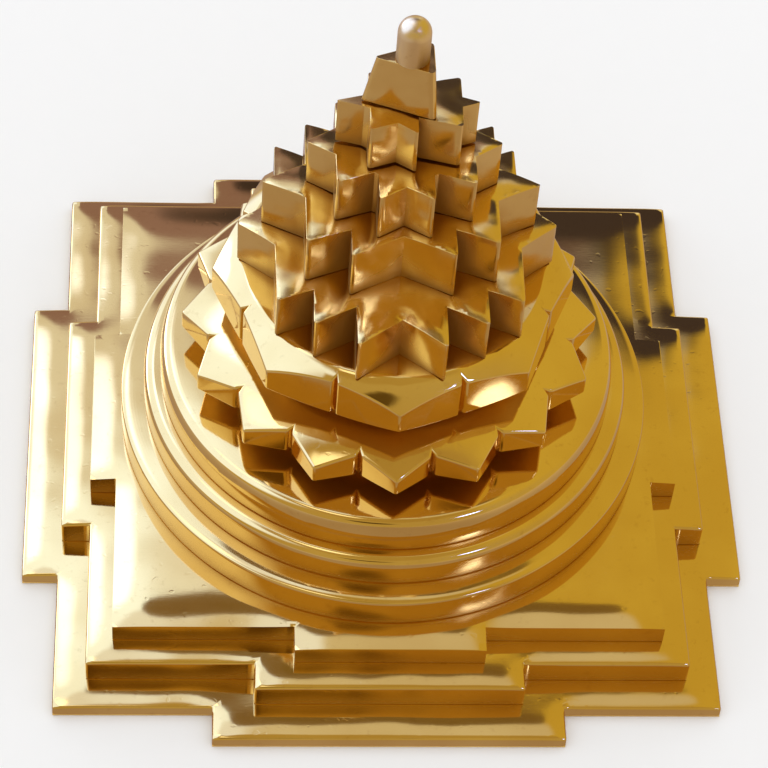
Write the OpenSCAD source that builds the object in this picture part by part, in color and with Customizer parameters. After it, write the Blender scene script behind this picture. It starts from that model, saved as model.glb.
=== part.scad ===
/* [Lower base plate] */
// How far the lower plate stands out past the middle plate
lower_plate_ledge = 3.7; // [2:0.1:6]
// Thickness of the lower plate
lower_plate_thickness = 1.9; // [1.7:0.1:3]
// Width of a gate of the lower plate
lower_gate_width = 40; // [36:0.5:46]
// How far a gate of the lower plate stands out
lower_gate_depth = 4.1; // [2:0.1:6]

/* [Middle base plate] */
// How far the middle plate stands out past the upper plate
middle_plate_ledge = 3; // [2:0.1:5]
// Thickness of the middle plate
middle_plate_thickness = 3.5; // [3:0.1:5]
// Width of a gate of the middle plate
middle_gate_width = 30.6; // [26:0.2:35]
// How far a gate of the middle plate stands out
middle_gate_depth = 3.3; // [2:0.1:4.5]

/* [Upper base plate] */
// How far the upper plate stands out past the lower ring, in the middle of a side
upper_plate_ledge = 0.4; // [0.2:0.1:2]
// Thickness of the upper plate
upper_plate_thickness = 3; // [2.6:0.1:4]
// Width of a gate of the upper plate
upper_gate_width = 21.6; // [18:0.2:25]
// How far a gate of the upper plate stands out
upper_gate_depth = 3; // [2:0.1:4]

/* [Turned rings] */
// How far the lower ring stands out past the middle ring
lower_ring_ledge = 2.7; // [1:0.1:4]
// Height of the lower ring
lower_ring_height = 4; // [3:0.1:6]
// Height of the rounded shoulder of the lower ring
lower_ring_shoulder = 0.6; // [0.3:0.1:1.2]
// How far the shoulder of the lower ring draws in
lower_ring_draw = 0.5; // [0.2:0.1:0.6]
// How far the middle ring stands out past the upper ring
middle_ring_ledge = 1.9; // [1:0.1:3]
// Height of the middle ring
middle_ring_height = 3.9; // [3:0.1:5]
// Height of the rounded shoulder of the middle ring
middle_ring_shoulder = 1.2; // [0.8:0.1:2]
// How far the shoulder of the middle ring draws in
middle_ring_draw = 0.7; // [0.3:0.1:0.8]
// How far the upper ring stands out past the tips of the sixteen petals
upper_ring_ledge = 2.4; // [1:0.1:4]
// Height of the upper ring
upper_ring_height = 4.4; // [3:0.1:6]
// Height of the rounded shoulder of the upper ring
upper_ring_shoulder = 2.2; // [1.5:0.1:2.8]
// How far the shoulder of the upper ring draws in
upper_ring_draw = 0.7; // [0.3:0.1:1]

/* [Sixteen petal plate] */
// Radius of the petal tips
sixteen_tip_radius = 23.9; // [23:0.1:24.8]
// Radius at the ends of the petals' flanks
sixteen_flank_radius = 21.2; // [21:0.1:22]
// Radius at the bottom of the grooves between the petals
sixteen_notch_radius = 20.6; // [19.6:0.1:21]
// Width of the grooves between the petals
sixteen_groove_width = 0.6; // [0.4:0.1:2]
// Radius of the level top inside the petals
sixteen_top_radius = 18.4; // [17.5:0.1:19.4]
// Thickness of the plate at its neck side
sixteen_thickness = 4.8; // [4:0.1:6]
// How far the petal tips droop below the level top
sixteen_droop = 1.3; // [0.3:0.1:2]
// How far the underside rises from the neck to the petal tips
sixteen_undercut = 1; // [0.3:0.1:1.4]
// Height of the hollow neck below the petals
sixteen_neck_height = 1.5; // [1:0.1:3]
// Radius at the bottom of the hollow of the neck
sixteen_neck_radius = 18; // [17:0.1:18.8]

/* [Eight petal plate] */
// Radius of the petal tips
eight_petal_tip_radius = 20.5; // [19.8:0.1:21.2]
// Radius at the ends of the petals' flanks
eight_petal_flank_radius = 18.6; // [18.2:0.1:19.2]
// Radius at the bottom of the grooves between the petals
eight_petal_notch_radius = 17.9; // [16.9:0.1:18]
// Width of the grooves between the petals
eight_petal_groove_width = 0.7; // [0.4:0.1:2]
// Radius of the level top inside the petals
eight_petal_top_radius = 18.3; // [18:0.1:19]
// Thickness of the plate at its neck side
eight_petal_thickness = 7.5; // [6:0.1:9]
// How far the petal tips droop below the level top
eight_petal_droop = 2.3; // [0.5:0.1:3]
// How far the underside rises from the neck to the petal tips
eight_petal_undercut = 2.2; // [0.5:0.1:2.5]
// Height of the hollow neck below the petals
eight_petal_neck_height = 1.1; // [0.8:0.1:2]
// Radius at the bottom of the hollow of the neck
eight_petal_neck_radius = 15.8; // [15:0.1:16.2]

/* [Fourteen corner tier] */
// Height of the tier
fourteen_height = 6.2; // [5:0.1:9]
// Distance of the long base lines from the axis
fourteen_first_base = 4.9; // [4.5:0.1:5.4]
// Half length of the long base lines
fourteen_first_span = 17.5; // [17:0.1:17.6]
// Distance of the two end corners from the axis
fourteen_first_reach = 17.9; // [17.4:0.1:18.2]
// Distance of the second base lines from the axis
fourteen_second_base = 9.5; // [9:0.1:10]
// Half length of the second base lines
fourteen_second_span = 14.4; // [14:0.1:15]
// Distance of the hidden corners of the second triangles from the axis
fourteen_second_reach = 17; // [15:0.1:17.2]
// Distance of the third base lines from the axis
fourteen_third_base = 13.6; // [13:0.1:14]
// Half length of the third base lines
fourteen_third_span = 11.3; // [10.8:0.1:11.8]
// Distance of the hidden corners of the third triangles from the axis
fourteen_third_reach = 13; // [11:0.1:14]

/* [Outer ten corner tier] */
// Height of the tier
outer_ten_height = 6.8; // [5:0.1:9]
// Distance of the long base lines from the axis
outer_ten_first_base = 5.7; // [5.2:0.1:6.2]
// Half length of the long base lines
outer_ten_first_span = 10.6; // [10.2:0.1:11.4]
// Distance of the two end corners from the axis
outer_ten_first_reach = 15.4; // [14.8:0.1:16]
// Distance of the second base lines from the axis
outer_ten_second_base = 10.5; // [10:0.1:11]
// Half length of the second base lines
outer_ten_second_span = 8.6; // [8.2:0.1:9]
// Distance of the hidden corners of the second triangles from the axis
outer_ten_second_reach = 12; // [10:0.1:13]

/* [Inner ten corner tier] */
// Height of the tier
inner_ten_height = 6.5; // [5:0.1:8]
// Distance of the long base lines from the axis
inner_ten_first_base = 3; // [2.7:0.1:3.4]
// Half length of the long base lines
inner_ten_first_span = 8.3; // [7.9:0.1:8.7]
// Distance of the two end corners from the axis
inner_ten_first_reach = 10.7; // [10.2:0.1:11.2]
// Distance of the second base lines from the axis
inner_ten_second_base = 7.5; // [7:0.1:7.9]
// Half length of the second base lines
inner_ten_second_span = 5.8; // [5.4:0.1:6.2]
// Distance of the hidden corners of the second triangles from the axis
inner_ten_second_reach = 9.5; // [8:0.1:10]

/* [Eight corner tier] */
// Height of the tier
eight_corner_height = 6.4; // [5:0.1:7]
// Distance of the two end corners from the axis
eight_corner_reach = 7.8; // [7.5:0.1:8.4]
// Distance of the left base line from the axis
eight_corner_left_base = 4.2; // [4:0.1:4.6]
// Half length of the left base line
eight_corner_left_span = 4.2; // [4:0.1:4.6]
// Distance of the right base line from the axis
eight_corner_right_base = 5.7; // [5.3:0.1:6]
// Half length of the right base line
eight_corner_right_span = 3.6; // [3.4:0.1:4]
// Distance of the middle base line from the axis
eight_corner_middle_base = 1; // [0.6:0.1:1.4]
// Half length of the middle base line
eight_corner_middle_span = 4.6; // [4.3:0.1:4.9]
// Distance of the hidden corner of the middle triangle from the axis
eight_corner_middle_reach = 6; // [5:0.1:7]

/* [Triangle tier] */
// Height of the tier
triangle_height = 6.4; // [6.2:0.1:8]
// Distance of the base line from the axis
triangle_base = 2.8; // [2.6:0.1:3.2]
// Half length of the base line
triangle_span = 3.1; // [3:0.1:3.6]
// Distance of the pointed corner from the axis
triangle_reach = 5.5; // [5.2:0.1:6]
// Lean of the three sides, in degrees
triangle_draft = 4; // [1:0.5:5]

/* [Bindu] */
// Diameter of the bindu
bindu_diameter = 3.6; // [3.2:0.1:4.2]
// Height of the bindu above the triangle
bindu_height = 5.4; // [4:0.1:8]
// Diameter of the stud below the bindu
bindu_stud_diameter = 1.6; // [1.4:0.1:1.7]
// Length of the stud below the bindu
bindu_stud_length = 2.2; // [1.8:0.1:2.3]

/* [Rod and clamp] */
// Diameter of the tie rod
rod_diameter = 2; // [1.8:0.1:2.2]
// Metal left in the triangle between the rod and the stud of the bindu
rod_web = 0.8; // [0.5:0.1:1.2]
// Length of rod that shows below the nut
rod_tail = 0.3; // [0:0.1:0.4]
// Width of the nut across its flats
nut_across_flats = 4; // [3.8:0.1:4.5]
// Thickness of the nut
nut_thickness = 1.6; // [1.4:0.1:2]
// Diameter of the washer
washer_diameter = 6; // [5.4:0.1:7]
// Thickness of the washer
washer_thickness = 0.5; // [0.3:0.1:0.6]
// Diameter of the recess under the base
recess_diameter = 10; // [8:0.5:14]
// Depth of the recess in the middle plate
recess_depth = 1.4; // [1.2:0.1:1.7]

/* [Screws and pins] */
// Distance of a base screw from the sides of the upper plate
screw_inset = 7.3; // [5:0.1:10]
// Diameter of a base screw
screw_diameter = 2.5; // [2:0.1:3]
// Diameter of the head of a base screw
screw_head_diameter = 4.5; // [3.8:0.1:5]
// Height of the head of a base screw
screw_head_height = 1.1; // [0.8:0.1:1.3]
// Length of screw thread in the upper plate
screw_engagement = 1.9; // [1.4:0.1:2]
// Width of the slot in the head of a base screw
screw_slot_width = 0.6; // [0.4:0.1:0.8]
// Depth of the slot in the head of a base screw
screw_slot_depth = 0.5; // [0.3:0.1:0.6]
// Diameter of the long pins in the rings and petal plates
body_pin_diameter = 2.5; // [2:0.1:3]
// Distance of the long pins from the axis
body_pin_offset = 11; // [9:0.5:13]
// Length of the long pins in the eight petal plate
body_pin_engagement = 3; // [2:0.1:4]
// Diameter of the thin pins in the star tiers
tower_pin_diameter = 1.2; // [1:0.1:1.4]
// Distance of the thin pins from the axis
tower_pin_offset = 3.5; // [3.2:0.1:3.7]
// Length of the thin pins in the eight petal plate and the eight corner tier
tower_pin_engagement = 3; // [2:0.1:4]

/* [Fits] */
// Gap round a pin, screw or stud in its hole
pin_clearance = 0.05; // [0.02:0.01:0.08]
// Gap round the rod in the plates
rod_clearance = 0.1; // [0.05:0.01:0.15]
// Gap beyond the end of a pin, screw or stud
end_clearance = 0.2; // [0.1:0.05:0.3]

/* [Hidden] */
$fn = 96;
brass = [0.80, 0.62, 0.24];
dark_brass = [0.66, 0.48, 0.18];
steel = [0.62, 0.63, 0.65];
past = 0.5;

// Radii of the rings and widths of the plates, from the petals outward
upper_ring_radius = sixteen_tip_radius + upper_ring_ledge;
middle_ring_radius = upper_ring_radius + middle_ring_ledge;
lower_ring_radius = middle_ring_radius + lower_ring_ledge;
upper_plate_width = 2 * (lower_ring_radius + upper_plate_ledge);
middle_plate_width = upper_plate_width + 2 * middle_plate_ledge;
lower_plate_width = middle_plate_width + 2 * lower_plate_ledge;
screw_offset = upper_plate_width / 2 - screw_inset;

// Heights of the faces where the layers meet, from the table up
middle_plate_z = lower_plate_thickness;
upper_plate_z = middle_plate_z + middle_plate_thickness;
lower_ring_z = upper_plate_z + upper_plate_thickness;
middle_ring_z = lower_ring_z + lower_ring_height;
upper_ring_z = middle_ring_z + middle_ring_height;
sixteen_z = upper_ring_z + upper_ring_height;
eight_petal_z = sixteen_z + sixteen_neck_height + sixteen_thickness;
fourteen_z = eight_petal_z + eight_petal_neck_height + eight_petal_thickness;
outer_ten_z = fourteen_z + fourteen_height;
inner_ten_z = outer_ten_z + outer_ten_height;
eight_corner_z = inner_ten_z + inner_ten_height;
triangle_z = eight_corner_z + eight_corner_height;
bindu_z = triangle_z + triangle_height;

// Clamp stack, hung from the roof of the recess
recess_roof_z = middle_plate_z + recess_depth;
washer_z = recess_roof_z - washer_thickness;
nut_z = washer_z - nut_thickness;
rod_bottom_z = nut_z - rod_tail;
stud_bottom_z = bindu_z - bindu_stud_length;
rod_top_z = stud_bottom_z - rod_web - 2 * end_clearance;

screw_top_z = upper_plate_z + screw_engagement;
body_pin_top_z = eight_petal_z + body_pin_engagement;
tower_pin_bottom_z = fourteen_z - tower_pin_engagement;
tower_pin_top_z = eight_corner_z + tower_pin_engagement;

function quarter_turn(point, turns) =
    turns == 0 ? point : quarter_turn([-point[1], point[0]], turns - 1);

// One side of a gated square, from its first corner to the end of its gate
function gate_side(half, gate_half, reach) = [
    [-half, -half], [-gate_half, -half], [-gate_half, -reach], [gate_half, -reach], [gate_half, -half]
];

// Square plate with a gate in the middle of each side
module gate_plate(width, gate_width, gate_depth, z, thickness) {
    side = gate_side(width / 2, gate_width / 2, width / 2 + gate_depth);
    outline = [for (turns = [0 : 3]) for (point = side) quarter_turn(point, turns)];
    translate([0, 0, z]) linear_extrude(thickness) polygon(outline);
}

function shoulder_radius(rise, draw) = (rise * rise + draw * draw) / (2 * draw);

// Turned ring: an upright foot and a shoulder that curves in to a crisp top edge
module turned_ring(radius, z, height, shoulder, draw) {
    curve = shoulder_radius(shoulder, draw);
    foot = height - shoulder;
    translate([0, 0, z]) rotate_extrude() {
        square([radius, foot]);
        square([radius - draw, height]);
        intersection() {
            translate([radius - draw, foot]) square([draw, shoulder]);
            translate([radius - curve, foot]) circle(curve);
        }
    }
}

// Outline of a petal plate: straight flanks from each tip to narrow grooves between the petals
function petal_points(count, tip, flank, notch, groove) = [
    for (i = [0 : count - 1], corner = [0 : 3])
        let (
            half = 180 / count,
            side = asin(groove / 2 / flank),
            radius = [tip, flank, notch, flank][corner],
            turn = 2 * half * i + [0, half - side, half, half + side][corner]
        )
        [radius * sin(turn), -radius * cos(turn)]
];

// Petal plate: cut out of a turned blank with a hollow neck, a drooping rim and a rising underside
module petal_plate(outline, tip, top, z, neck, neck_height, thickness, droop, undercut) {
    full = neck_height + thickness;
    lip = neck + neck_height / 2;
    translate([0, 0, z]) {
        intersection() {
            translate([0, 0, neck_height]) linear_extrude(thickness) polygon(outline);
            rotate_extrude() polygon([
                [0, neck_height],
                [lip, neck_height],
                [tip, neck_height + undercut],
                [tip, full - droop],
                [top, full],
                [0, full]
            ]);
        }
        rotate_extrude() difference() {
            square([lip, neck_height]);
            translate([lip, neck_height / 2]) circle(neck_height / 2);
        }
    }
}

// Triangular prism with its base line on one side of the axis and its corner on the other
module yantra_triangle(base, span, reach, height) {
    linear_extrude(height) polygon([[base, -span], [base, span], [-reach, 0]]);
}

// Two prisms that point opposite ways
module triangle_pair(base, span, reach, height) {
    yantra_triangle(base, span, reach, height);
    mirror([1, 0, 0]) yantra_triangle(base, span, reach, height);
}

module at_screws() {
    for (x = [-screw_offset, screw_offset], y = [-screw_offset, screw_offset])
        translate([x, y, 0]) children();
}

module at_body_pins() {
    for (y = [-body_pin_offset, body_pin_offset])
        translate([0, y, 0]) children();
}

module at_tower_pins() {
    for (x = [-tower_pin_offset, tower_pin_offset])
        translate([x, 0, 0]) children();
}

// Upright round bar between two heights
module bar(bottom, top, diameter) {
    translate([0, 0, bottom]) cylinder(h = top - bottom, d = diameter);
}

// Room for the rod, with the recess for the washer and the nut
module rod_space() {
    bar(-past, recess_roof_z, recess_diameter);
    bar(recess_roof_z - past, rod_top_z + end_clearance, rod_diameter + 2 * rod_clearance);
}

module screw_space() {
    wide = screw_head_diameter / 2 + pin_clearance;
    narrow = screw_diameter / 2 + pin_clearance;
    at_screws() rotate_extrude() polygon([
        [0, -past],
        [wide, -past],
        [wide, end_clearance],
        [narrow, end_clearance + screw_head_height],
        [narrow, screw_top_z + end_clearance],
        [0, screw_top_z + end_clearance]
    ]);
}

module body_pin_space() {
    at_body_pins()
        bar(upper_plate_z, body_pin_top_z + end_clearance, body_pin_diameter + 2 * pin_clearance);
}

module tower_pin_space() {
    at_tower_pins() bar(
        tower_pin_bottom_z - end_clearance, tower_pin_top_z + end_clearance,
        tower_pin_diameter + 2 * pin_clearance
    );
}

module stud_space() {
    bar(stud_bottom_z - end_clearance, bindu_z + past, bindu_stud_diameter + 2 * pin_clearance);
}

module base_plate_lower() {
    color(brass) difference() {
        gate_plate(lower_plate_width, lower_gate_width, lower_gate_depth, 0, lower_plate_thickness);
        rod_space();
        screw_space();
    }
}

module base_plate_middle() {
    color(brass) difference() {
        gate_plate(
            middle_plate_width, middle_gate_width, middle_gate_depth,
            middle_plate_z, middle_plate_thickness
        );
        rod_space();
        screw_space();
    }
}

module base_plate_upper() {
    color(brass) difference() {
        gate_plate(upper_plate_width, upper_gate_width, upper_gate_depth, upper_plate_z, upper_plate_thickness);
        rod_space();
        screw_space();
        body_pin_space();
    }
}

module ring_lower() {
    color(brass) difference() {
        turned_ring(
            lower_ring_radius, lower_ring_z, lower_ring_height, lower_ring_shoulder, lower_ring_draw
        );
        rod_space();
        body_pin_space();
    }
}

module ring_middle() {
    color(brass) difference() {
        turned_ring(
            middle_ring_radius, middle_ring_z, middle_ring_height, middle_ring_shoulder, middle_ring_draw
        );
        rod_space();
        body_pin_space();
    }
}

module ring_upper() {
    color(brass) difference() {
        turned_ring(
            upper_ring_radius, upper_ring_z, upper_ring_height, upper_ring_shoulder, upper_ring_draw
        );
        rod_space();
        body_pin_space();
    }
}

module sixteen_petal_plate() {
    color(brass) difference() {
        petal_plate(
            petal_points(
                16, sixteen_tip_radius, sixteen_flank_radius, sixteen_notch_radius, sixteen_groove_width
            ),
            sixteen_tip_radius, sixteen_top_radius, sixteen_z, sixteen_neck_radius,
            sixteen_neck_height, sixteen_thickness, sixteen_droop, sixteen_undercut
        );
        rod_space();
        body_pin_space();
    }
}

module eight_petal_plate() {
    color(brass) difference() {
        petal_plate(
            petal_points(
                8, eight_petal_tip_radius, eight_petal_flank_radius, eight_petal_notch_radius,
                eight_petal_groove_width
            ),
            eight_petal_tip_radius, eight_petal_top_radius, eight_petal_z, eight_petal_neck_radius,
            eight_petal_neck_height, eight_petal_thickness, eight_petal_droop, eight_petal_undercut
        );
        rod_space();
        body_pin_space();
        tower_pin_space();
    }
}

// Star tier: its prisms raised to z, with holes for the rod and the thin pins
module star_tier(z) {
    color(brass) difference() {
        translate([0, 0, z]) children();
        rod_space();
        tower_pin_space();
    }
}

module fourteen_corner_tier() {
    star_tier(fourteen_z) union() {
        triangle_pair(fourteen_first_base, fourteen_first_span, fourteen_first_reach, fourteen_height);
        triangle_pair(fourteen_second_base, fourteen_second_span, fourteen_second_reach, fourteen_height);
        triangle_pair(fourteen_third_base, fourteen_third_span, fourteen_third_reach, fourteen_height);
    }
}

module outer_ten_corner_tier() {
    star_tier(outer_ten_z) union() {
        triangle_pair(outer_ten_first_base, outer_ten_first_span, outer_ten_first_reach, outer_ten_height);
        triangle_pair(outer_ten_second_base, outer_ten_second_span, outer_ten_second_reach, outer_ten_height);
    }
}

module inner_ten_corner_tier() {
    star_tier(inner_ten_z) union() {
        triangle_pair(inner_ten_first_base, inner_ten_first_span, inner_ten_first_reach, inner_ten_height);
        triangle_pair(inner_ten_second_base, inner_ten_second_span, inner_ten_second_reach, inner_ten_height);
    }
}

module eight_corner_tier() {
    star_tier(eight_corner_z) union() {
        yantra_triangle(
            eight_corner_right_base, eight_corner_right_span, eight_corner_reach, eight_corner_height
        );
        mirror([1, 0, 0]) yantra_triangle(
            eight_corner_left_base, eight_corner_left_span, eight_corner_reach, eight_corner_height
        );
        yantra_triangle(
            eight_corner_middle_base, eight_corner_middle_span, eight_corner_middle_reach, eight_corner_height
        );
    }
}

// Blocks that lean in over the three sides of the triangle tier
module triangle_taper() {
    side_turn = atan2(triangle_span, triangle_base + triangle_reach);
    block = triangle_reach + triangle_base + triangle_height;
    translate([triangle_base, -block, 0]) rotate([0, -triangle_draft, 0]) cube([block, 2 * block, block]);
    for (side = [0, 1])
        mirror([0, side, 0]) translate([-triangle_reach, 0, 0]) rotate([0, 0, side_turn])
            rotate([triangle_draft, 0, 0]) translate([-block / 2, 0, 0]) cube([2 * block, block, block]);
}

module triangle_tier() {
    color(brass) difference() {
        translate([0, 0, triangle_z])
            yantra_triangle(triangle_base, triangle_span, triangle_reach, triangle_height);
        translate([0, 0, triangle_z]) triangle_taper();
        rod_space();
        stud_space();
    }
}

module bindu_finial() {
    dome = bindu_diameter / 2;
    dome_z = bindu_z + bindu_height - dome;
    color(brass) {
        bar(bindu_z, dome_z, bindu_diameter);
        translate([0, 0, dome_z]) intersection() {
            sphere(dome);
            cylinder(h = dome, r = dome);
        }
        bar(stud_bottom_z, bindu_z, bindu_stud_diameter);
    }
}

module tie_rod() {
    color(steel) bar(rod_bottom_z, rod_top_z, rod_diameter);
}

module clamp_washer() {
    color(dark_brass) difference() {
        bar(washer_z, recess_roof_z, washer_diameter);
        bar(washer_z - past, recess_roof_z + past, rod_diameter + 2 * rod_clearance);
    }
}

module clamp_nut() {
    color(dark_brass) difference() {
        translate([0, 0, nut_z]) cylinder(h = nut_thickness, d = nut_across_flats / cos(30), $fn = 6);
        bar(nut_z - past, washer_z + past, rod_diameter + 2 * pin_clearance);
    }
}

module base_screws() {
    color(steel) at_screws() difference() {
        rotate_extrude() polygon([
            [0, end_clearance],
            [screw_head_diameter / 2, end_clearance],
            [screw_diameter / 2, end_clearance + screw_head_height],
            [screw_diameter / 2, screw_top_z],
            [0, screw_top_z]
        ]);
        translate([-screw_head_diameter, -screw_slot_width / 2, end_clearance - past])
            cube([2 * screw_head_diameter, screw_slot_width, past + screw_slot_depth]);
    }
}

module body_pins() {
    color(steel) at_body_pins() bar(upper_plate_z, body_pin_top_z, body_pin_diameter);
}

module tower_pins() {
    color(steel) at_tower_pins() bar(tower_pin_bottom_z, tower_pin_top_z, tower_pin_diameter);
}

base_plate_lower();
base_plate_middle();
base_plate_upper();
ring_lower();
ring_middle();
ring_upper();
sixteen_petal_plate();
eight_petal_plate();
fourteen_corner_tier();
outer_ten_corner_tier();
inner_ten_corner_tier();
eight_corner_tier();
triangle_tier();
bindu_finial();
tie_rod();
clamp_washer();
clamp_nut();
base_screws();
body_pins();
tower_pins();
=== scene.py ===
import math
import bpy
import bmesh
from mathutils import Matrix, Vector, noise
from mathutils.bvhtree import BVHTree


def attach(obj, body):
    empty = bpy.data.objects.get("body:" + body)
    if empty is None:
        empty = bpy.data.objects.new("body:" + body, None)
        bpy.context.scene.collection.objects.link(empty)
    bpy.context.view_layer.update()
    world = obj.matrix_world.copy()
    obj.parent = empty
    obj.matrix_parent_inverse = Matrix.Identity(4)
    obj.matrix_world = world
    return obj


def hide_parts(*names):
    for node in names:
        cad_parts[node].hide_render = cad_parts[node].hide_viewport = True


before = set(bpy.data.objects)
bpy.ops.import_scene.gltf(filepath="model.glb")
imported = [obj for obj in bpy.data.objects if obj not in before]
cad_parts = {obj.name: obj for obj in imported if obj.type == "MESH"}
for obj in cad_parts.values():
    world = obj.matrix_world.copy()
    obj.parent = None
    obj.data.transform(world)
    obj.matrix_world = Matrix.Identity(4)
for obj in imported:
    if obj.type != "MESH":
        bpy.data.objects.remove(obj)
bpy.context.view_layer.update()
print("frame loaded")

mm = 0.001  # the CAD sizes below are in millimetres


class Wire:
    def __init__(self, tree, socket=None):
        self.tree = tree
        self.socket = socket

    def node(self, kind, settings, sockets, out=0):
        made = self.tree.nodes.new("ShaderNode" + kind)
        for name, value in settings.items():
            setattr(made, name, value)
        for name, value in sockets.items():
            if isinstance(value, Wire):
                self.tree.links.new(value.socket, made.inputs[name])
            else:
                made.inputs[name].default_value = value
        return Wire(self.tree, made.outputs[out])

    def math(self, operation, first, second=0.0):
        return self.node("Math", {"operation": operation}, {0: first, 1: second})

    def __add__(self, other):
        return self.math("ADD", self, other)

    def __radd__(self, other):
        return self.math("ADD", other, self)

    def __sub__(self, other):
        return self.math("SUBTRACT", self, other)

    def __rsub__(self, other):
        return self.math("SUBTRACT", other, self)

    def __mul__(self, other):
        return self.math("MULTIPLY", self, other)

    def __rmul__(self, other):
        return self.math("MULTIPLY", other, self)

    # eased step from 0 to 1 between two values
    def step(self, low, high):
        return self.node("MapRange", {"interpolation_type": "SMOOTHSTEP", "clamp": True},
                         {"Value": self, "From Min": low, "From Max": high,
                          "To Min": 0.0, "To Max": 1.0})

    def blend(self, first, second):
        return self.node("Mix", {"data_type": "RGBA"}, {0: self, 6: first, 7: second}, 2)

    def noise(self, scale, detail=2.0, rough=0.5):
        return self.node("TexNoise", {}, {"Vector": self, "Scale": scale, "Detail": detail,
                                          "Roughness": rough})

    def stretch(self, factors):
        return self.node("VectorMath", {"operation": "MULTIPLY"}, {0: self, 1: factors})


def rgba(colour):
    return (*colour, 1.0)


def newMaterial(name):
    material = bpy.data.materials.new(name)
    material.use_nodes = True
    material.node_tree.nodes.clear()
    return material, Wire(material.node_tree)


def finishMaterial(start, shader):
    output = start.tree.nodes.new("ShaderNodeOutputMaterial")
    start.tree.links.new(shader.socket, output.inputs["Surface"])


# where each noise starts and ends to show, and how dull the painted recess shade and grime make the
# metal
metalMarks = {"cloudSpan": (0.35, 0.65), "speckSpan": (0.58, 0.75), "dentSpan": (0.72, 0.80),
              "shadeAndGrimeRough": 0.8}


def metalMaterial(look):
    material, start = newMaterial(look["name"])
    place = start.node("TexCoord", {}, {}, 3)
    cloud = place.noise(look["cloudScale"], detail=3.0)
    wave = place.noise(look["waveScale"], detail=1.0)
    speck = place.noise(look["speckScale"], detail=4.0, rough=0.65)
    colour = cloud.step(*metalMarks["cloudSpan"]).blend(rgba(look["pale"]), rgba(look["deep"]))
    stain = speck.step(*metalMarks["speckSpan"]) * look["stain"]
    colour = stain.blend(colour, rgba(look["stainColour"]))
    if look["turned"]:  # lathe lines run round the axis
        flat = place.stretch((1.0, 1.0, 0.0))
        radius = start.node("VectorMath", {"operation": "LENGTH"}, {0: flat}, 1)
        height = start.node("SeparateXYZ", {}, {0: place}, 2)
        place = start.node("CombineXYZ", {}, {0: radius, 1: 0.0, 2: height})
    # this vertex value is painted shade in recesses, at contacts and under parts, together with
    # real tarnish; it darkens the colour and dulls the metal
    hidden = start.node("Attribute", {"attribute_name": "shadeAndTarnish"}, {}, 2)
    shadeAndGrime = hidden.step(*look["shadeAndGrimeSpan"]) * look["shadeAndGrime"]
    colour = shadeAndGrime.blend(colour, rgba(look["shadeAndGrimeColour"]))
    lines = place.stretch(look["lineStretch"]).noise(1.0, detail=3.0, rough=0.6)
    rough = (shadeAndGrime * metalMarks["shadeAndGrimeRough"] + look["rough"] + look["roughCloud"] * cloud
             + look["roughLines"] * lines)
    dents = place.noise(look["dentScale"], detail=0.0).step(*metalMarks["dentSpan"])
    bend = (wave * look["waveHeight"] + lines * look["lineHeight"] + speck * look["speckHeight"]
            - dents * look["dentDepth"])
    bump = start.node("Bump", {}, {"Strength": 1.0, "Distance": 1.0, "Height": bend})
    shader = start.node("BsdfPrincipled", {}, {"Base Color": colour, "Metallic": 1.0,
                                               "Roughness": rough, "Normal": bump})
    finishMaterial(start, shader)
    return material


# the shade-and-grime values set how strong, where and how dark the painted recess shade with grime
# is laid on
polishedLook = {"name": "polishedBrass", "pale": (0.82, 0.54, 0.15), "deep": (0.75, 0.47, 0.12),
                "cloudScale": 70.0, "speckScale": 900.0, "stain": 0.3, "turned": False,
                "shadeAndGrime": 0.55, "shadeAndGrimeSpan": (0.12, 0.75), "shadeAndGrimeColour": (0.36, 0.18, 0.03),
                "stainColour": (0.55, 0.30, 0.07), "lineStretch": (900.0, 5000.0, 5000.0),
                "rough": 0.035, "roughCloud": 0.04, "roughLines": 0.03, "waveScale": 90.0,
                "waveHeight": 0.00016, "dentScale": 1100.0, "dentDepth": 0.0000015,
                "lineHeight": 0.0000006, "speckHeight": 0.0000007}
turnedLook = dict(polishedLook, name="turnedBrass", turned=True,
                  lineStretch=(4000.0, 1.0, 4000.0), waveHeight=0.00012, dentDepth=0.0,
                  lineHeight=0.000002)
# filed brass gets a stronger, darker painted recess shade with grime
filedLook = dict(polishedLook, name="filedBrass", rough=0.08, roughCloud=0.08, waveScale=260.0,
                 dentDepth=0.0, lineStretch=(3000.0, 3000.0, 900.0), lineHeight=0.000002,
                 shadeAndGrime=0.68, shadeAndGrimeSpan=(0.08, 0.6), shadeAndGrimeColour=(0.28, 0.115, 0.010))
satinLook = dict(filedLook, name="satinBrass", rough=0.28, waveHeight=0.00004,
                 pale=(0.80, 0.57, 0.25), deep=(0.76, 0.52, 0.20))
plainBrassLook = dict(polishedLook, name="plainBrass", shadeAndGrime=0.5, shadeAndGrimeColour=(0.10, 0.06, 0.03),
                      pale=(0.66, 0.44, 0.15), deep=(0.52, 0.33, 0.10), cloudScale=200.0,
                      speckScale=1500.0, stain=0.5, stainColour=(0.30, 0.17, 0.06),
                      lineStretch=(4000.0, 4000.0, 800.0), rough=0.28, roughCloud=0.1,
                      roughLines=0.1, waveScale=200.0, waveHeight=0.00003, dentDepth=0.0,
                      lineHeight=0.000002, speckHeight=0.000004)
plainSteelLook = dict(plainBrassLook, name="plainSteel", shadeAndGrimeColour=(0.08, 0.07, 0.06),
                      pale=(0.58, 0.58, 0.60), deep=(0.44, 0.44, 0.46), stain=0.4,
                      stainColour=(0.25, 0.20, 0.16), lineStretch=(5000.0, 5000.0, 600.0),
                      rough=0.3)
polishedBrass, turnedBrass, filedBrass, satinBrass, plainBrass, plainSteel = [
    metalMaterial(look) for look in (polishedLook, turnedLook, filedLook, satinLook, plainBrassLook,
                                     plainSteelLook)]
print("materials made")


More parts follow.
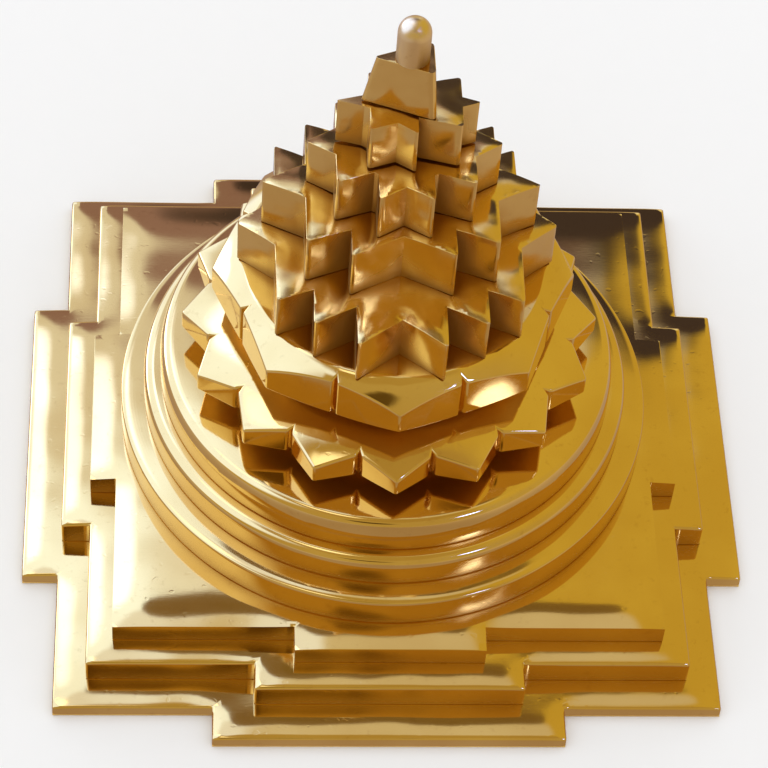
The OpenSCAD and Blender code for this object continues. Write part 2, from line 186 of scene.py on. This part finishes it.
# a merged copy of a CAD node's mesh, for a piece that is finished here
def cadCopy(nodeName):
    mesh = bmesh.new()
    mesh.from_mesh(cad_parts[nodeName].data)
    bmesh.ops.remove_doubles(mesh, verts=mesh.verts, dist=1e-6)
    bmesh.ops.dissolve_limit(mesh, angle_limit=math.radians(0.5), verts=mesh.verts,
                             edges=mesh.edges)
    return mesh


sharpFrom = math.radians(25)  # flatter edges are left alone


# rounds the long sharp edges that are chosen by their two ends and by how steep they climb
def softenEdges(mesh, width, minLength, segments, chosen):
    sharp = []
    for edge in mesh.edges:
        if len(edge.link_faces) == 2 and edge.calc_length() > minLength:
            first, second = (v.co for v in edge.verts)
            climb = abs(first.z - second.z) / edge.calc_length()
            if chosen(first, second, climb) and edge.calc_face_angle_signed() > sharpFrom:
                sharp.append(edge)
    bmesh.ops.bevel(mesh, geom=sharp, offset=width, offset_type="OFFSET", affect="EDGES",
                    segments=segments, profile=0.5, material=-1, clamp_overlap=True)


brassPieces = []


def placePiece(mesh, name, nodeName, material, smoothAngle=40.0):
    data = bpy.data.meshes.new(name)
    mesh.to_mesh(data)
    mesh.free()
    data.polygons.foreach_set("use_smooth", [True] * len(data.polygons))
    data.set_sharp_from_angle(angle=math.radians(smoothAngle))
    piece = bpy.data.objects.new(name, data)
    bpy.context.scene.collection.objects.link(piece)
    weighted = piece.modifiers.new("evenNormals", "WEIGHTED_NORMAL")
    weighted.keep_sharp = True
    data.materials.append(material)
    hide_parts(nodeName)
    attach(piece, "root")
    brassPieces.append(piece)


# splits long edges, so that a value kept on the vertices can follow the recesses
def splitLong(mesh, longest, rounds=8):
    bmesh.ops.triangulate(mesh, faces=[f for f in mesh.faces if len(f.verts) > 4])
    for turn in range(rounds):
        tooLong = [e for e in mesh.edges if e.calc_length() > longest]
        if not tooLong:
            break
        bmesh.ops.subdivide_edges(mesh, edges=tooLong, cuts=1)
        bmesh.ops.triangulate(mesh, faces=[f for f in mesh.faces if len(f.verts) > 4])


basePlates = [
    {"name": "basePlateLower", "node": "base_plate_lower", "top": 1.9, "soft": 0.3,
     "half": 38.0, "gate": 20.0, "reach": 42.1, "blur": 1.45, "drop": 0.23},
    {"name": "basePlateMiddle", "node": "base_plate_middle", "top": 5.4, "soft": 0.3,
     "half": 34.3, "gate": 15.3, "reach": 37.6, "blur": 1.4, "drop": 0.22},
    {"name": "basePlateUpper", "node": "base_plate_upper", "top": 8.4, "soft": 0.3,
     "half": 31.3, "gate": 10.8, "reach": 34.3, "blur": 1.9, "drop": 0.29},
]
plateWear = {"cell": 0.9, "seam": 0.12, "minLength": 1.2, "rim": 1.0, "margin": 0.01}


# cuts a piece along a square grid, so that its level faces can bend
def cutCells(mesh, reach, cell):
    cuts = int(reach / cell)
    for axis in ((1, 0, 0), (0, 1, 0)):
        for cut in range(-cuts, cuts + 1):
            place = Vector(axis) * cut * cell * mm
            whole = list(mesh.verts) + list(mesh.edges) + list(mesh.faces)
            bmesh.ops.bisect_plane(mesh, geom=whole, dist=1e-7, plane_co=place, plane_no=axis)


# share of a blurred strip from low to high that is left at a place
def stripShare(place, low, high, blur):
    wide = blur * math.sqrt(2)
    return (math.erf((high - place) / wide) - math.erf((low - place) / wide)) / 2


# buffing has worn the plate down towards its outline, and flows round the corners
def wornDrop(plate, x, y):
    half, gate, reach, blur = plate["half"], plate["gate"], plate["reach"], plate["blur"]
    share = stripShare(x, -half, half, blur) * stripShare(y, -half, half, blur)
    for along, across in ((x, y), (-x, y), (y, x), (-y, x)):
        share += stripShare(along, half, reach, blur) * stripShare(across, -gate, gate, blur)
    return plate["drop"] * 2 * (1 - share)


for plate in basePlates:
    body = cadCopy(plate["node"])
    rim = (plate["half"] - plateWear["rim"]) * mm
    middle = (plate["top"] - plateWear["rim"]) * mm
    softenEdges(body, plateWear["seam"] * mm, plateWear["minLength"] * mm, 2,
                lambda first, second, climb: max(abs(first.x), abs(first.y)) > rim
                and climb < 0.1 and first.z < middle)
    softenEdges(body, plate["soft"] * mm, plateWear["minLength"] * mm, 3,
                lambda first, second, climb: max(abs(first.x), abs(first.y)) > rim
                and max(first.z, second.z) > middle)
    cutCells(body, plate["reach"], plateWear["cell"])
    for vert in body.verts:
        if vert.co.z > (plate["top"] - plate["soft"] - plateWear["margin"]) * mm:
            vert.co.z -= wornDrop(plate, vert.co.x / mm, vert.co.y / mm) * mm
    placePiece(body, plate["name"], plate["node"], polishedBrass)

ringShapes = [
    {"name": "ringLower", "node": "ring_lower", "radius": 30.9, "z": 8.4, "height": 4.0,
     "shoulder": 0.6, "draw": 0.5, "ease": 0.45, "droop": 0.1},
    {"name": "ringMiddle", "node": "ring_middle", "radius": 28.2, "z": 12.4, "height": 3.9,
     "shoulder": 1.2, "draw": 0.7, "ease": 0.55, "droop": 0.06},
    {"name": "ringUpper", "node": "ring_upper", "radius": 26.3, "z": 16.3, "height": 4.4,
     "shoulder": 2.2, "draw": 0.7, "ease": 0.6, "droop": 0.12},
]
ringCut = {"bore": 1.1, "footEase": 0.15, "bends": 12, "easeSteps": 6, "turns": 240,
           "ledge": (0.4, 0.8, 1.2, 1.7, 2.2, 2.8, 3.6)}


# profile of a turned ring as (radius, height): upright foot, shoulder that curves in, eased edge
def ringProfile(ring):
    curve = (ring["shoulder"] ** 2 + ring["draw"] ** 2) / (2 * ring["draw"])
    foot = ring["height"] - ring["shoulder"]
    lean = math.asin(ring["shoulder"] / curve)
    low = [(ringCut["bore"], 0.0), (ring["radius"] - ringCut["footEase"], 0.0),
           (ring["radius"], ringCut["footEase"]), (ring["radius"], foot / 3),
           (ring["radius"], 2 * foot / 3)]
    last = lean - ring["ease"] / curve  # the eased edge starts here
    bends = [last * i / ringCut["bends"] for i in range(ringCut["bends"] + 1)]
    side = [(ring["radius"] - curve + curve * math.cos(bend), foot + curve * math.sin(bend))
            for bend in bends]
    reach = ringCut["ledge"][-1]
    fall = 2 * ring["droop"] / reach  # slope of the ledge at its outer edge
    end = Vector((ring["radius"] - ring["draw"] - ring["ease"], ring["height"] - ring["droop"]))
    start, corner = Vector(side[-1]), end + Vector((1.0, -fall)) * ring["ease"]
    eased = []
    for i in range(1, ringCut["easeSteps"] + 1):
        share = i / ringCut["easeSteps"]
        eased.append(tuple(start.lerp(corner, share).lerp(corner.lerp(end, share), share)))
    ledge = [(end.x - inward, ring["height"] - ring["droop"] * (1 - inward / reach) ** 2)
             for inward in ringCut["ledge"]]
    return low + side + eased + ledge + [(ringCut["bore"], ring["height"])]


for ring in ringShapes:
    body = bmesh.new()
    line = [body.verts.new((r * mm, 0.0, (ring["z"] + up) * mm)) for r, up in ringProfile(ring)]
    edges = [body.edges.new((first, second)) for first, second in zip(line, line[1:] + line[:1])]
    bmesh.ops.spin(body, geom=line + edges, cent=(0, 0, 0), axis=(0, 0, 1), dvec=(0, 0, 0),
                   angle=2 * math.pi, steps=ringCut["turns"], use_merge=True, use_duplicate=False)
    bmesh.ops.recalc_face_normals(body, faces=body.faces)
    placePiece(body, ring["name"], ring["node"], turnedBrass)
placePiece(cadCopy("bindu_finial"), "binduFinial", "bindu_finial", satinBrass)

starTiers = [
    {"name": "fourteenCornerTier", "node": "fourteen_corner_tier", "soft": 0.2,
     "blunt": 0.45, "minLength": 0.7, "reach": 18.4, "drop": 0.16},
    {"name": "outerTenCornerTier", "node": "outer_ten_corner_tier", "soft": 0.2,
     "blunt": 0.45, "minLength": 0.7, "reach": 16.0, "drop": 0.16},
    {"name": "innerTenCornerTier", "node": "inner_ten_corner_tier", "soft": 0.2,
     "blunt": 0.45, "minLength": 0.7, "reach": 11.2, "drop": 0.16},
    {"name": "eightCornerTier", "node": "eight_corner_tier", "soft": 0.2,
     "blunt": 0.45, "minLength": 0.7, "reach": 8.4, "drop": 0.16},
    {"name": "triangleTier", "node": "triangle_tier", "soft": 0.4,
     "blunt": 0.8, "minLength": 1.2, "reach": 6.0, "drop": 0.03},
]
tierWear = {"width": 1.0, "most": 1.6, "cell": 0.45, "clear": 2.5, "depth": 0.2, "longest": 0.9,
            "smoothAngle": 11.0}
handWork = {"reach": 0.14, "scale": 160.0, "seed": 7}  # hand-filed corners stray a little
noise.seed_set(handWork["seed"])


# the file has worn the top of a tier down towards each side of its outline
def tierDrop(tier, sides, place):
    share = 0.0
    for first, second in sides:
        run = second - first
        along = (place - first).dot(run) / run.length_squared
        near = first + run * min(1.0, max(0.0, along))
        share += math.exp(-(place - near).length / (tierWear["width"] * mm))
    return tier["drop"] * min(share, tierWear["most"]) * mm


for tier in starTiers:
    body = cadCopy(tier["node"])
    clear = tierWear["clear"] * mm  # the holes nearer the axis stay as they are
    middle = sum(v.co.z for v in body.verts) / len(body.verts)
    peak = max(v.co.z for v in body.verts)
    sides = [tuple(v.co.xy for v in e.verts) for e in body.edges
             if all(v.co.z > peak - 1e-6 and v.co.xy.length > clear for v in e.verts)
             and any(f.normal.z < 0.5 for f in e.link_faces)]
    for vert in body.verts:
        if vert.co.z > middle and vert.co.xy.length > clear:
            stray = noise.noise_vector(vert.co * handWork["scale"])
            vert.co += stray * handWork["reach"] * mm
    softenEdges(body, tier["blunt"] * mm, tier["minLength"] * mm, 3,
                lambda first, second, climb: climb > 0.8)
    softenEdges(body, tier["soft"] * mm, tier["minLength"] * mm, 3,
                lambda first, second, climb: climb < 0.5)
    cutCells(body, tier["reach"], tierWear["cell"])
    for vert in body.verts:
        if vert.co.z > peak - (tier["soft"] + tierWear["depth"]) * mm:
            vert.co.z -= tierDrop(tier, sides, vert.co.xy)
    splitLong(body, tierWear["longest"] * mm)
    placePiece(body, tier["name"], tier["node"], filedBrass, tierWear["smoothAngle"])
print("pieces placed")


# outline of all the petals: a tip, flanks split for the droop, and a notch before the next petal
def petalOutline(shape):
    half = math.pi / shape["count"]
    groove = math.asin(shape["groove"] / 2 / shape["flank"])
    tipPoint = Vector((0, -shape["tip"]))
    flankPoint = Vector((math.sin(half - groove), -math.cos(half - groove))) * shape["flank"]
    notchPoint = Vector((math.sin(half), -math.cos(half))) * shape["notch"]
    rightHalf = [tipPoint.lerp(flankPoint, i / shape["split"]) for i in range(shape["split"] + 1)]
    leftHalf = [Vector((-p.x, p.y)) for p in reversed(rightHalf[1:])]
    corners = []
    for petal in range(shape["count"]):
        turn = Matrix.Rotation(2 * half * petal, 2)
        corners += [turn @ p for p in rightHalf + [notchPoint]]
        corners += [Matrix.Rotation(2 * half, 2) @ turn @ p for p in leftHalf]
    return corners


# carries a loop of edges on to new places, which joins them by a band of faces
def carryLoop(mesh, edges, move):
    grown = bmesh.ops.extrude_edge_only(mesh, edges=edges)["geom"]
    for vert in [g for g in grown if isinstance(g, bmesh.types.BMVert)]:
        vert.co = move(vert.co)
    return [g for g in grown if isinstance(g, bmesh.types.BMEdge)
            and all(len(v.link_edges) < 4 for v in g.verts)]


petalWork = {"neckBends": 8, "minLength": 0.3, "segments": 4, "smoothAngle": 24.0}


def petalPlate(shape):
    lip = shape["neck"] + shape["neckHeight"] / 2
    full = shape["neckHeight"] + shape["thickness"]

    def uneven(point):  # small hand-made unevenness round the rim
        turn = math.atan2(point.y, point.x)
        return shape["uneven"] * (math.sin(3 * turn + 0.7) + 0.7 * math.sin(5 * turn + 1.9))

    def topHeight(point, radius):
        past = max(0.0, radius - shape["level"]) / (shape["tip"] - shape["level"])
        return full - (shape["droop"] + uneven(point)) * past ** shape["fall"]

    def lowHeight(point, radius):
        past = (radius - lip) / (shape["tip"] - lip)
        return shape["neckHeight"] + shape["undercut"] * past

    # moves a point a share of the way in to a circle, on to the top or the underside
    def inTo(circle, share, height):
        def move(place):
            flat = place.xy / mm
            radius = flat.length
            reach = radius + (circle - radius) * share
            up = height(flat, reach) + shape["z"]
            return Vector((*(flat * (reach / radius)), up)) * mm
        return move

    mesh = bmesh.new()
    rim = [mesh.verts.new((c.x * mm, c.y * mm, 0.0)) for c in petalOutline(shape)]
    for vert in rim:
        vert.co = inTo(0.0, 0.0, lowHeight)(vert.co)
    under = [mesh.edges.new((a, b)) for a, b in zip(rim, rim[1:] + rim[:1])]
    top = carryLoop(mesh, under, inTo(0.0, 0.0, topHeight))
    for share in shape["topShares"]:
        top = carryLoop(mesh, top, inTo(shape["level"], share, topHeight))
    low = carryLoop(mesh, under, inTo(lip, 1.0, lowHeight))
    curve = shape["neckHeight"] / 2
    for bend in range(1, petalWork["neckBends"] + 1):
        turn = math.pi * (0.5 + bend / petalWork["neckBends"])
        low = carryLoop(mesh, low, inTo(lip + curve * math.cos(turn), 1.0,
                                        lambda flat, reach: curve + curve * math.sin(turn)))
    low = carryLoop(mesh, low, inTo(shape["bore"], 1.0, lambda flat, reach: 0.0))
    top = carryLoop(mesh, top, inTo(shape["bore"], 1.0, topHeight))
    bmesh.ops.bridge_loops(mesh, edges=top + low)
    bmesh.ops.recalc_face_normals(mesh, faces=mesh.faces)
    return mesh


sixteenShape = {"count": 16, "tip": 23.9, "flank": 21.2, "notch": 20.6, "groove": 0.6, "split": 4,
                "z": 20.7, "neck": 18.0, "neckHeight": 1.5, "thickness": 4.8, "level": 17.4,
                "droop": 1.3, "fall": 1.5, "undercut": 1.0, "uneven": 0.1, "bore": 1.1,
                "topShares": (0.3, 0.43, 0.5, 1.0), "soft": 0.3}
eightShape = {"count": 8, "tip": 20.5, "flank": 18.6, "notch": 17.9, "groove": 0.7, "split": 6,
              "z": 27.0, "neck": 15.8, "neckHeight": 1.1, "thickness": 7.5, "level": 16.6,
              "droop": 2.3, "fall": 1.6, "undercut": 2.2, "uneven": 0.15, "bore": 1.1,
              "topShares": (0.35, 0.45, 0.5, 1.0), "soft": 0.4}
for name, nodeName, shape in (("sixteenPetalPlate", "sixteen_petal_plate", sixteenShape),
                              ("eightPetalPlate", "eight_petal_plate", eightShape)):
    body = petalPlate(shape)
    softenEdges(body, shape["soft"] * mm, petalWork["minLength"] * mm, petalWork["segments"],
                lambda first, second, climb: True)
    placePiece(body, name, nodeName, polishedBrass, petalWork["smoothAngle"])
print("petal plates made")

# tarnish and polish gather in the recesses, and shade falls there too: each vertex keeps the share
# of its view that is blocked, which darkens it as painted shade together with tarnish
recess = {"rays": 24, "reach": 7.0, "lift": 0.06, "core": 1.2, "evenings": 2, "levelFaceRelief": 0.75,
          "under": 0.6, "downward": -0.7, "fade": 0.6}
fan = []
for i in range(recess["rays"]):
    lean = math.sqrt((i + 0.5) / recess["rays"])
    spin = i * math.pi * (3 - math.sqrt(5))
    fan.append(Vector((lean * math.cos(spin), lean * math.sin(spin), math.sqrt(1 - lean * lean))))
corners, faces = [], []
for piece in brassPieces:
    first = len(corners)
    corners += [v.co for v in piece.data.vertices]
    faces += [[first + i for i in p.vertices] for p in piece.data.polygons]
allBrass = BVHTree.FromPolygons(corners, faces)
for piece in brassPieces:
    shares = []
    for vertex in piece.data.vertices:
        inBore = vertex.co.xy.length < recess["core"] * mm and piece.name != "binduFinial"
        # faces that look down, and the bore, get a fixed share of painted shade under parts
        if vertex.normal.z < recess["downward"] or inBore:
            shares.append(recess["under"])
            continue
        turn = vertex.normal.to_track_quat("Z", "Y")
        origin = vertex.co + vertex.normal * recess["lift"] * mm
        blocked = 0.0
        for ray in fan:
            far = allBrass.ray_cast(origin, turn @ ray, recess["reach"] * mm)[3]
            blocked += 0.0 if far is None else 1.0 - recess["fade"] * far / (recess["reach"] * mm)
        levelFaceRelief = recess["levelFaceRelief"] * max(0.0, vertex.normal.z)  # level faces get less of the painted shade and tarnish; they are easy to polish
        shares.append(blocked / len(fan) * (1.0 - levelFaceRelief))
    for turn in range(recess["evenings"]):
        totals, counts = list(shares), [1] * len(shares)
        for edge in piece.data.edges:
            first, second = edge.vertices
            totals[first] += shares[second]
            totals[second] += shares[first]
            counts[first] += 1
            counts[second] += 1
        shares = [total / count for total, count in zip(totals, counts)]
    # the painted recess shade with tarnish is kept as a vertex attribute for the materials
    layer = piece.data.attributes.new("shadeAndTarnish", "FLOAT", "POINT")
    layer.data.foreach_set("value", shares)
print("recesses marked", len(corners))

# fasteners stay as CAD shapes
fasteners = {"tie_rod": plainSteel, "clamp_washer": plainBrass, "clamp_nut": plainBrass,
             "base_screws": plainSteel, "body_pins": plainSteel, "tower_pins": plainSteel}
for nodeName, material in fasteners.items():
    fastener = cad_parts[nodeName]
    fastener.data.materials.clear()
    fastener.data.materials.append(material)
print("fasteners coloured")


def stageObject(mesh, name, material):
    data = bpy.data.meshes.new(name)
    mesh.to_mesh(data)
    mesh.free()
    data.materials.append(material)
    thing = bpy.data.objects.new(name, data)
    bpy.context.scene.collection.objects.link(thing)
    return thing


floorShape = {"name": "floor", "halfWidth": 3.0, "colour": (0.94, 0.94, 0.94),
              "grainColour": (0.95, 0.95, 0.95), "grainScale": 300.0}
floorMaterial, start = newMaterial("floorPaper")
grain = start.node("TexCoord", {}, {}, 3).noise(floorShape["grainScale"])
floorColour = grain.blend(rgba(floorShape["colour"]), rgba(floorShape["grainColour"]))
finishMaterial(start, start.node("BsdfPrincipled", {}, {"Base Color": floorColour,
                                                        "Roughness": 0.9,
                                                        "Specular IOR Level": 0.1}))
mesh = bmesh.new()
bmesh.ops.create_grid(mesh, x_segments=1, y_segments=1, size=floorShape["halfWidth"])
stageObject(mesh, floorShape["name"], floorMaterial)

# the room that the brass mirrors: tan walls, a bright one on the left, dim patches behind and
# overhead, and a few small lamps
roomShape = {"name": "studioRoom", "radius": 2.5, "rounds": 96, "rows": 48,
             "colour": (0.66, 0.55, 0.15)}
roomMaterial, start = newMaterial("studioRoom")
place = start.node("TexCoord", {}, {}, 3)
outward = place.node("VectorMath", {"operation": "NORMALIZE"}, {0: place})


def towards(azimuth, elevation):
    turn, rise = math.radians(azimuth), math.radians(elevation)
    return (math.sin(turn) * math.cos(rise), math.cos(turn) * math.cos(rise), math.sin(rise))


# soft round patch of the room, in degrees: azimuth is measured from +Y towards +X
def patch(azimuth, elevation, inner, outer):
    along = start.node("VectorMath", {"operation": "DOT_PRODUCT"},
                       {0: outward, 1: towards(azimuth, elevation)}, 1)
    return along.step(math.cos(math.radians(outer)), math.cos(math.radians(inner)))


roomPatches = [
    {"at": (180, 30), "spread": (40, 80), "colour": (0.56, 0.48, 0.26)},
    {"at": (-60, 35), "spread": (40, 52), "colour": (1.26, 1.78, 4.3)},
    {"at": (0, 90), "spread": (14, 20), "colour": (0.50, 0.40, 0.18)},
    {"at": (-12, 68.5), "spread": (4.0, 7.0), "colour": (1.0, 1.28, 2.8)},
    {"at": (16, 68.5), "spread": (4.0, 7.0), "colour": (0.72, 0.75, 0.95)},
    {"at": (-1, 38), "spread": (14.5, 18.5), "colour": (0.86, 1.02, 1.9)},
    {"at": (4, 38), "spread": (12.0, 14.0), "colour": (0.32, 0.24, 0.44)},
    {"at": (13, 37.5), "spread": (9.5, 13.3), "colour": (0.06, 0.05, 0.09)},
    {"at": (19, 18), "spread": (6, 11), "colour": (1.0, 1.1, 1.4)},
    {"at": (1, 62.3), "spread": (4.1, 4.9), "colour": (0.24, 0.18, 0.13)},
    {"at": (8, 62), "spread": (2.6, 3.3), "colour": (0.22, 0.16, 0.08)},
    {"at": (14, 62), "spread": (2.6, 3.3), "colour": (0.22, 0.16, 0.08)},
    {"at": (-173, 55), "spread": (5, 9), "colour": (0.13, 0.09, 0.03)},
    {"at": (-50, 14), "spread": (8, 14), "colour": (4.5, 5.4, 11.0)},
    {"at": (-21, 52), "spread": (2.0, 7.0), "colour": (2.0, 2.8, 7.5)},
    {"at": (-35, 66), "spread": (3, 5), "colour": (3.0, 3.2, 5.0)},
    {"at": (-50, 82), "spread": (3, 6), "colour": (1.7, 1.9, 2.6)},
    {"at": (135, 52), "spread": (2.4, 4.0), "colour": (4.0, 7.0, 40.0)},
]
roomColour = rgba(roomShape["colour"])
for spot in roomPatches:
    roomColour = patch(*spot["at"], *spot["spread"]).blend(roomColour, rgba(spot["colour"]))
glow = start.node("Emission", {}, {"Color": roomColour, "Strength": 1.0})
finishMaterial(start, glow)
mesh = bmesh.new()
bmesh.ops.create_uvsphere(mesh, u_segments=roomShape["rounds"], v_segments=roomShape["rows"],
                          radius=roomShape["radius"])
room = stageObject(mesh, roomShape["name"], roomMaterial)

# a tan table card round the object, seen only in its reflections
tableShape = {"name": "tableCard", "hole": 0.034, "reach": 2.0, "lift": 0.0003,
              "colour": (0.45, 0.37, 0.38), "leftColour": (0.60, 0.58, 0.75),
              "rightColour": (0.64, 0.56, 0.55), "leftSpan": (-0.12, -0.02),
              "rightSpan": (0.02, 0.10), "segments": 64}
tableMaterial, start = newMaterial("tableCard")
across = start.node("SeparateXYZ", {}, {0: start.node("TexCoord", {}, {}, 3)}, 0)
fromLeft, toRight = across.step(*tableShape["leftSpan"]), across.step(*tableShape["rightSpan"])
tableColour = fromLeft.blend(rgba(tableShape["leftColour"]), rgba(tableShape["colour"]))
tableColour = toRight.blend(tableColour, rgba(tableShape["rightColour"]))
finishMaterial(start, start.node("Emission", {}, {"Color": tableColour, "Strength": 1.0}))
mesh = bmesh.new()
for radius in (tableShape["hole"], tableShape["reach"]):
    bmesh.ops.create_circle(mesh, cap_ends=False, segments=tableShape["segments"], radius=radius)
bmesh.ops.bridge_loops(mesh, edges=mesh.edges)
bmesh.ops.translate(mesh, verts=mesh.verts, vec=(0, 0, tableShape["lift"]))
table = stageObject(mesh, tableShape["name"], tableMaterial)
for card in (room, table):
    card.visible_camera = False
    card.visible_diffuse = False
    card.visible_shadow = False
    card.visible_transmission = False
    card.visible_volume_scatter = False

world = bpy.data.worlds.new("studioWorld")
world.use_nodes = True
world.node_tree.nodes["Background"].inputs["Color"].default_value = rgba((1.0, 1.0, 1.0))
world.node_tree.nodes["Background"].inputs["Strength"].default_value = 1.0
bpy.context.scene.world = world
bpy.context.scene.view_settings.view_transform = "Standard"
print("stage set")

cameraShape = {"lens": 144.93, "sensor": 36.0, "near": 0.01,
               "place": (-0.022889, -0.224621, 0.299198),
               "right": (0.99798, -0.03167, 0.05504), "up": (-0.00903, 0.78724, 0.61659),
               "back": (-0.06284, -0.61585, 0.78535)}
lens = bpy.data.cameras.new("photoCamera")
lens.sensor_width = cameraShape["sensor"]
lens.lens = cameraShape["lens"]
lens.clip_start = cameraShape["near"]
camera = bpy.data.objects.new("photoCamera", lens)
turn = Matrix((cameraShape["right"], cameraShape["up"], cameraShape["back"])).transposed().to_4x4()
camera.matrix_world = Matrix.Translation(Vector(cameraShape["place"])) @ turn
bpy.context.scene.collection.objects.link(camera)
bpy.context.scene.camera = camera
print("camera placed")
